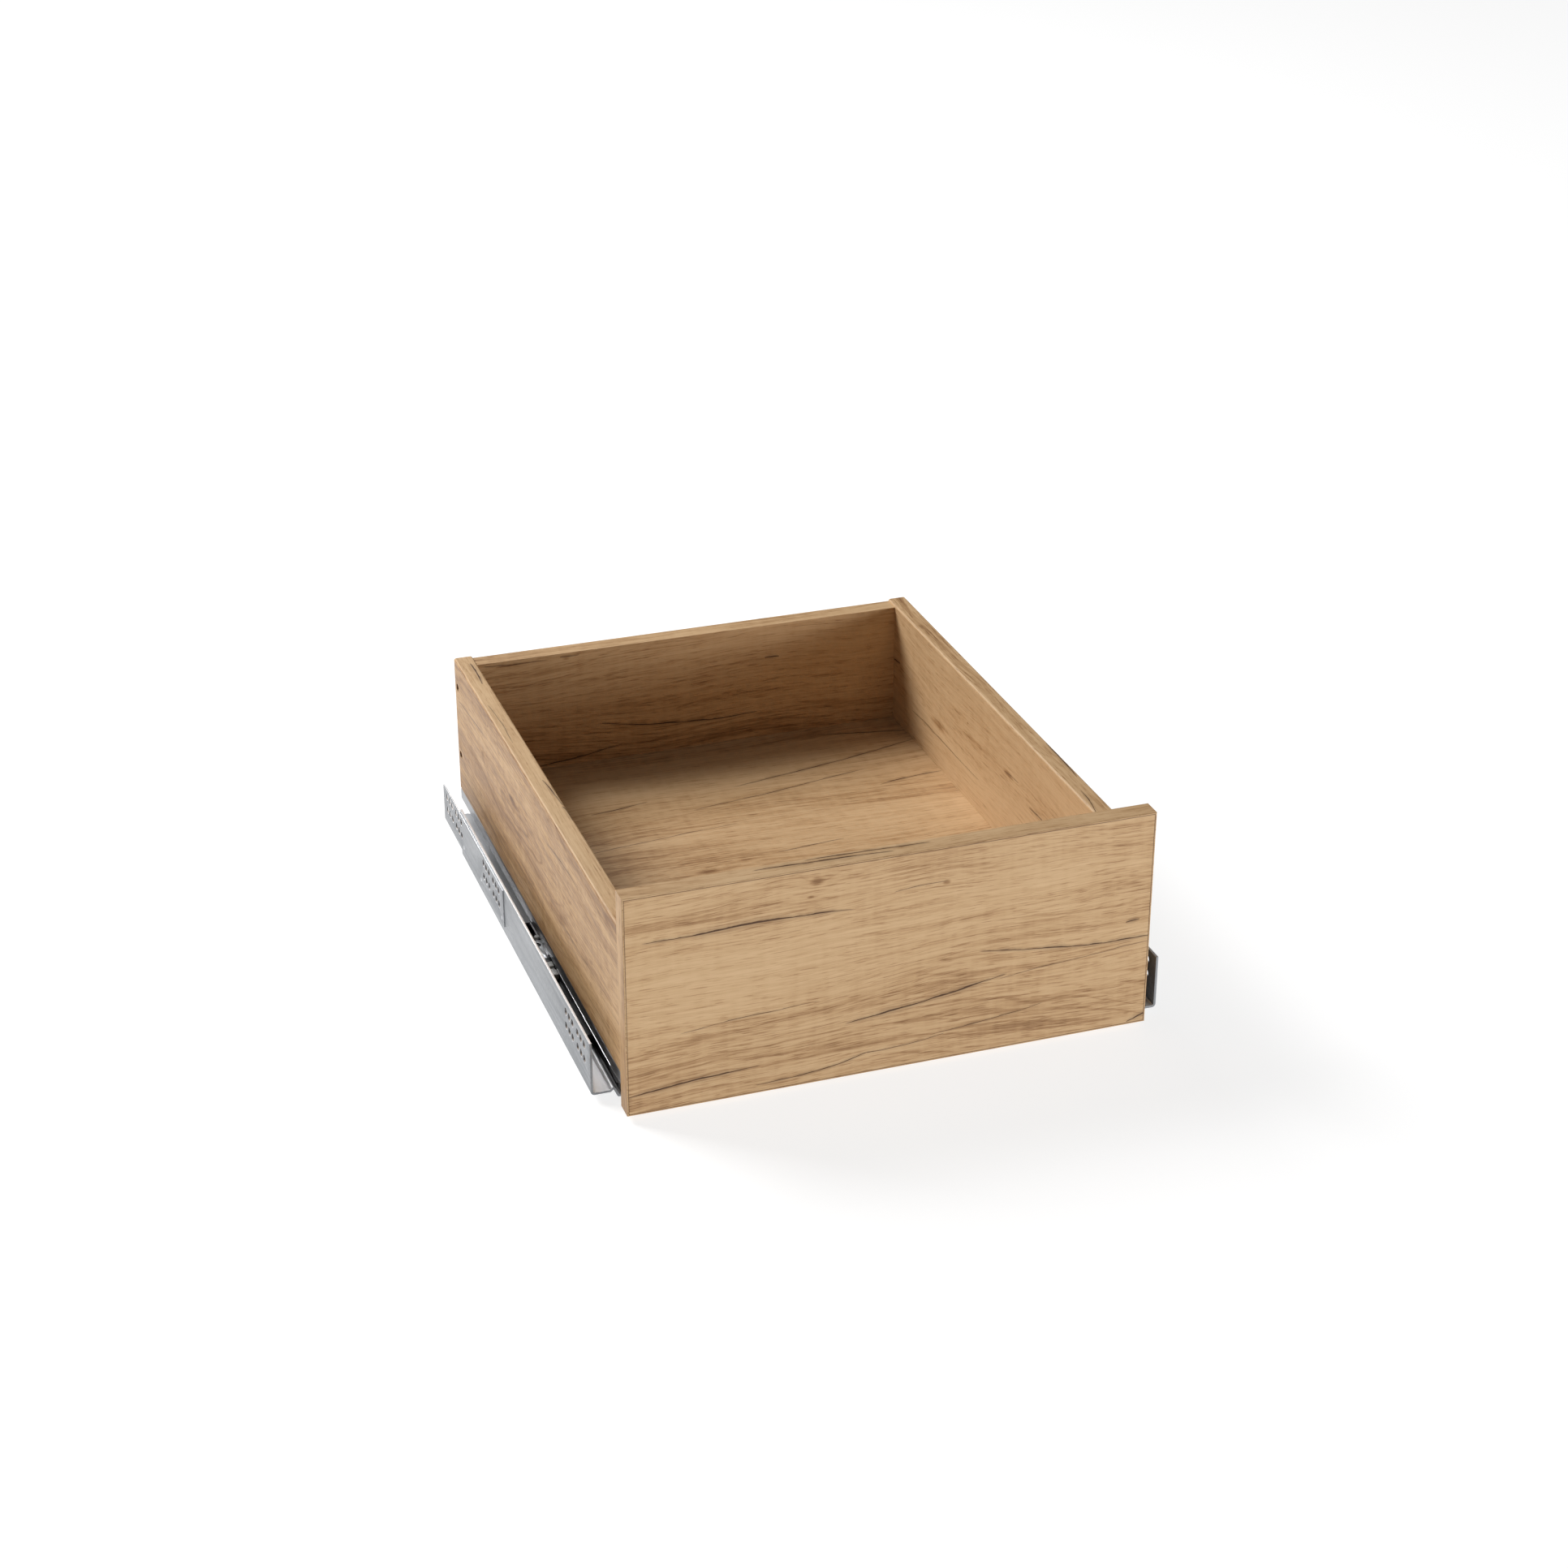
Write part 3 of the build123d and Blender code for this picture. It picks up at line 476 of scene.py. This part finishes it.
# shade=0.375 paints the left board's outer face and ends darker: painted shade against the strong
# light on that side
left_oak = oak_laminate("left_side_oak", (1, 2, 0), 4.1, (SIDE_BACK - 0.20, SIDE_FOOT + 0.078),
                        0.15, left_splits, left_knots, rings=0.20, shade=0.375, figure=0.35)
right_splits = [
    side_split(16, 32, 70, 72, 0, 0.8), side_split(322, 360, 69, 71, 0, 0.5),
    top_split(318, 384, RIGHT_IN + 0.0145, -0.001, 0.9),
    top_split(405, 446, RIGHT_IN + 0.006, -0.005, 0.6),
    side_split(60, 220, 40, 44, 1, 0.3), side_split(270, 300, 77, 80, 1, 0.4),
]
right_knots = [
    (SIDE_BACK - 0.125, SIDE_FOOT + 0.054, 0.020, 0.0045),
    (SIDE_BACK - 0.190, SIDE_FOOT + 0.085, 0.002, 0.0012),
    (SIDE_BACK - 0.28, SIDE_FOOT + 0.078, 0.012, 0.003),
]
# shade=0.66 paints the right board's inner face and ends lighter: painted light where that face
# lies in shade
right_oak = oak_laminate("right_side_oak", (1, 2, 0), 6.7, (SIDE_BACK - 0.1, SIDE_FOOT + 0.30),
                         0.07, right_splits, right_knots, shade=0.66)
give(["left_side_panel"], left_oak)
give(["right_side_panel"], right_oak)


# ---------------------------------------------------------------- back panel
# The same laminate on 16 mm chipboard, let in between the sides a little below their tops and
# held by screws through them.
back_splits = [
    front_split(122, 272, 76, 66, -4, 0.8), front_split(66, 146, 43, 53, -1, 0.7),
    front_split(22, 80, 145, 141, -1, 0.5), front_split(276, 290, 115, 115, 0, 0.6),
    front_split(90, 108, 142, 143, 0, 0.4),
]
back_knots = [(LEFT_U + 0.096, LOW_W + 0.142, 0.004, 0.002)]
back_oak = oak_laminate("back_oak", (0, 2, 1), 8.4, (LEFT_U + 0.25, LOW_W - 0.06), 0.12,
                        back_splits, back_knots)
give(["back_panel"], back_oak)


# ---------------------------------------------------------------- bottom panel
# A 14 mm chipboard panel in the same laminate, with its grain from side to side. Glued dowels
# join it to its neighbours.
def floor_split(start, end, low, high, bow=0.0, width=0.5):
    """A split in the upper face, by millimetres from the drawer's left end and its front."""
    return (LEFT_U + start / 1000, LEFT_U + end / 1000,
            front_corner.y + low / 1000 + BACK_FACE, front_corner.y + high / 1000 + BACK_FACE,
            bow / 1000, width / 1000)


floor_splits = [
    floor_split(170, 340, 381, 409, -2, 0.6), floor_split(215, 400, 410, 450, -2, 0.9),
    floor_split(320, 400, 486, 468, 0, 0.8), floor_split(214, 276, 284, 290, 0, 0.5),
    floor_split(338, 402, 374, 382, 2, 0.8), floor_split(86, 140, 400, 408, 0, 0.7),
    floor_split(60, 200, 330, 345, 2, 0.4), floor_split(120, 300, 250, 262, -2, 0.4),
]
floor_knots = [(LEFT_U + 0.15, front_corner.y + 0.27 + BACK_FACE, 0.012, 0.004)]
bottom_oak = oak_laminate("bottom_oak", (0, 1, 2), 11.2, (LEFT_U + 0.3, BACK_FACE + 0.02), 0.2,
                          floor_splits, floor_knots)
give(["bottom_panel"], bottom_oak)


# ---------------------------------------------------------------- dowels
# Fluted beech pegs that line the boards up at the corners and along the bottom. They are
# pressed in with glue.
BEECH_LIGHT, BEECH_DARK = (0.62, 0.42, 0.26, 1.0), (0.45, 0.27, 0.14, 1.0)


def beech(name, scale):
    """Plain beech with short dark rays. scale is how many spots go to a metre on each axis."""
    material, tree, shader = new_finish(name)
    spot = tree.nodes.new("ShaderNodeTexCoord").outputs["Object"]
    streak = cloud(tree, spot, scale, 4.0, 0.6)
    wire(tree, tint(tree, streak, BEECH_LIGHT, BEECH_DARK), shader.inputs["Base Color"])
    shader.inputs["Roughness"].default_value = 0.6
    relief(tree, shader, streak, 0.3, 0.0001)
    return material


give(["corner_dowels", "bottom_dowels"], beech("beech_peg", (300.0, 80.0, 1200.0)))


# ---------------------------------------------------------------- cams, bolts and screws
# Die-cast zinc cams turned against steel bolts join the front to the sides, and two sunk hexagon
# socket screws on each side hold the back.
# near white painted on what faces up: a painted highlight
PAINTED_TOP_HIGHLIGHT = (0.93, 0.94, 0.96, 1.0)
CRYSTALS = 420.0  # of the zinc, to the metre


def metal(name, light, dark, rough, scale, spangle=0.0, metallic=1.0, painted_top_light=0.0):
    """Bare or plated metal with faint drawn-out streaks and, on zinc, a weak crystal pattern.
    The last argument is how far what faces up is painted lighter, towards near white: a painted
    highlight."""
    material, tree, shader = new_finish(name)
    coords = tree.nodes.new("ShaderNodeTexCoord")
    spot = coords.outputs["Object"]
    streak = cloud(tree, spot, scale, 5.0, 0.6)
    patch = cloud(tree, spot, (26.0, 9.0, 26.0), 3.0)
    shade = plus(tree, times(tree, streak, 0.55), times(tree, patch, 0.45))
    if spangle:
        crystal = tree.nodes.new("ShaderNodeTexVoronoi")
        crystal.inputs["Scale"].default_value = CRYSTALS
        wire(tree, spot, crystal.inputs["Vector"])
        cell = tree.nodes.new("ShaderNodeSeparateColor")
        wire(tree, crystal.outputs["Color"], cell.inputs[0])
        shade = plus(tree, shade, times(tree, minus(tree, cell.outputs[0], 0.5), spangle))
    colour = tint(tree, ease(tree, shade, 0.3, 0.7), dark, light)
    # what faces up is painted lighter: painted light and highlight
    if painted_top_light:
        upward = parts_of(tree, coords.outputs["Normal"])[2]
        colour = tint(tree, ease(tree, upward, 0.55, 0.85, 0.0, painted_top_light), colour, PAINTED_TOP_HIGHLIGHT)
    wire(tree, colour, shader.inputs["Base Color"])
    shader.inputs["Metallic"].default_value = metallic
    wire(tree, ease(tree, shade, 0.3, 0.7, rough + 0.07, rough - 0.05), shader.inputs["Roughness"])
    relief(tree, shader, streak, 0.2, 0.00002)
    return material


cast_zinc = metal("cast_zinc", (0.62, 0.62, 0.63, 1.0), (0.42, 0.42, 0.43, 1.0), 0.50,
                  (700.0, 700.0, 700.0))
bright_steel = metal("bright_steel", (0.72, 0.73, 0.75, 1.0), (0.52, 0.53, 0.56, 1.0), 0.30,
                     (900.0, 14.0, 900.0))
# dark_steel is blackened steel, its near-black colour partly painted shade for heads sunk in their
# holes
dark_steel = metal("dark_steel", (0.050, 0.050, 0.052, 1.0), (0.022, 0.022, 0.023, 1.0), 0.50,
                   (500.0, 500.0, 500.0))
give(["cam_housings"], cast_zinc)
give(["cam_bolts"], bright_steel)
give(["connecting_screws"], dark_steel)


# ---------------------------------------------------------------- drawer profiles
# Inverted channels of zinc-plated steel screwed under the sides, with a hemmed lip, a welded tab
# for the soft close, countersunk screws and a pinned hook plate at the back.
SIDES = ("left", "right")
SAME_POINT = 0.000002  # metres
FLAT_WITHIN, SHARP_OVER = math.radians(0.4), math.radians(40.0)


def eased_copy(node_name, name, width, material, body, segments=2, edge=None):
    """A copy of a CAD node with its doubled points merged and its sharp edges slightly rounded,
    as handling, rolling or moulding leaves them. It stands for the node. edge is a second finish
    for the rounded edges alone."""
    piece = bpy.data.objects.new(name, nodes[node_name].data.copy())
    bpy.context.scene.collection.objects.link(piece)
    bpy.ops.object.select_all(action="DESELECT")
    piece.select_set(True)
    bpy.context.view_layer.objects.active = piece
    if piece.data.has_custom_normals:
        bpy.ops.mesh.customdata_custom_splitnormals_clear()
    bpy.ops.object.mode_set(mode="EDIT")
    bpy.ops.mesh.select_all(action="SELECT")
    bpy.ops.mesh.remove_doubles(threshold=SAME_POINT)
    bpy.ops.mesh.dissolve_limited(angle_limit=FLAT_WITHIN)
    bpy.ops.object.mode_set(mode="OBJECT")
    bevel = piece.modifiers.new("eased_edges", "BEVEL")
    bevel.limit_method = "ANGLE"
    bevel.angle_limit = SHARP_OVER
    bevel.width, bevel.segments = width, segments
    bevel.use_clamp_overlap = True
    piece.data.materials.clear()
    for finish in (material, edge) if edge else (material,):
        piece.data.materials.append(finish)
    if edge:
        bevel.material = 1
    bpy.ops.object.modifier_apply(modifier=bevel.name)
    bpy.ops.object.shade_smooth_by_angle(angle=SHARP_OVER)
    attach(piece, body)
    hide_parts(node_name)
    return piece


# profile_steel paints what faces up lighter: a painted highlight along its lips
profile_steel = metal("profile_steel", (0.46, 0.47, 0.49, 1.0), (0.30, 0.31, 0.33, 1.0), 0.34,
                      (900.0, 10.0, 900.0), painted_top_light=0.6)
for side in SIDES:
    eased_copy(f"{side}_drawer_profile", f"{side}_profile_rolled", 0.0003, profile_steel,
               "drawer")
    give([f"{side}_{part}" for part in ("activator", "profile_screws", "rear_hook", "lever_pin")],
         bright_steel)


# ---------------------------------------------------------------- couplings and release levers
# Injection-moulded black nylon, filled with glass: a clip on the profile's lower edge, and a
# finger lever that turns on a steel pin.
def moulded(name, light, dark, rough, grain_scale=1500.0, depth=0.00004):
    """Moulded plastic with a fine spark-eroded grain and slight unevenness of colour."""
    material, tree, shader = new_finish(name)
    spot = tree.nodes.new("ShaderNodeTexCoord").outputs["Object"]
    fine = cloud(tree, spot, (grain_scale,) * 3, 2.0)
    flow = cloud(tree, spot, (60.0, 25.0, 60.0), 4.0)
    wire(tree, tint(tree, ease(tree, flow, 0.3, 0.7), dark, light), shader.inputs["Base Color"])
    wire(tree, ease(tree, flow, 0.3, 0.7, rough - 0.06, rough + 0.08), shader.inputs["Roughness"])
    relief(tree, shader, fine, 0.35, depth)
    return material


black_nylon = moulded("black_nylon", (0.030, 0.030, 0.032, 1.0), (0.014, 0.014, 0.015, 1.0), 0.42)
for side in SIDES:
    eased_copy(f"{side}_front_coupling", f"{side}_coupling_clip", 0.00025, black_nylon,
               "drawer")
    eased_copy(f"{side}_release_lever", f"{side}_finger_lever", 0.0002, black_nylon,
               f"{side}_lever")


# ---------------------------------------------------------------- cabinet rails
# 1.8 mm zinc-plated steel rolled into a flange, a floor with a rib, a ball channel and a post,
# punched with three groups of screw holes. Their rounded edges carry a near-white painted
# highlight, and what faces up is painted lighter, a painted highlight too.
zinc_sheet = metal("zinc_sheet", (0.295, 0.308, 0.326, 1.0), (0.234, 0.245, 0.260, 1.0), 0.36,
                   (700.0, 12.0, 700.0), spangle=0.10, metallic=0.5, painted_top_light=0.8)
# a near-white finish for the rounded edges alone: a painted highlight
painted_edge_highlight = metal("painted_edge_highlight", (0.95, 0.96, 0.98, 1.0), (0.86, 0.87, 0.89, 1.0), 0.45,
                    (900.0, 40.0, 900.0), metallic=0.3)
for side in SIDES:
    eased_copy(f"{side}_cabinet_rail", f"{side}_rail_rolled", 0.0006, zinc_sheet,
               "cabinet_rails", 3, painted_edge_highlight)
    eased_copy(f"{side}_rear_bracket", f"{side}_bracket_pressed", 0.0003, zinc_sheet,
               "cabinet_rails", 2, painted_edge_highlight)
    eased_copy(f"{side}_bracket_rivets", f"{side}_rivets_set", 0.0003, bright_steel,
               "cabinet_rails", 3)


# ---------------------------------------------------------------- soft close
# A black tray clipped over the rail's floor holds an oil damper and its spring; a white slider
# runs in it, and a rod leads back to the bracket past a bent steel tongue and a round button.
white_acetal = moulded("white_acetal", (0.78, 0.78, 0.76, 1.0), (0.70, 0.70, 0.68, 1.0), 0.34)
for side in SIDES:
    eased_copy(f"{side}_soft_close_housing", f"{side}_damper_tray", 0.0003, black_nylon,
               "cabinet_rails")
    eased_copy(f"{side}_soft_close_slider", f"{side}_catch_slider", 0.0003, white_acetal,
               f"{side}_slider")
    eased_copy(f"{side}_anchor_tongue", f"{side}_tongue_pressed", 0.0002, zinc_sheet,
               "cabinet_rails")
    give([f"{side}_damper_cylinder", f"{side}_soft_close_spring", f"{side}_damper_rod"],
         bright_steel)
    give([f"{side}_rod_collar"], white_acetal)


# ---------------------------------------------------------------- ball cages, balls and buffers
# Black nylon cages carry hardened steel balls round each post; a rubber plug in the post's front
# end softens the stop.
ball_steel = metal("ball_steel", (0.80, 0.80, 0.82, 1.0), (0.72, 0.72, 0.74, 1.0), 0.12,
                   (200.0, 200.0, 200.0))
buffer_rubber = moulded("buffer_rubber", (0.035, 0.035, 0.036, 1.0), (0.020, 0.020, 0.021, 1.0),
                        0.75, 900.0, 0.00008)
for side in SIDES:
    give([f"{side}_ball_cage"], black_nylon)
    give([f"{side}_ball_set"], ball_steel)
    give([f"{side}_closing_buffer"], buffer_rubber)
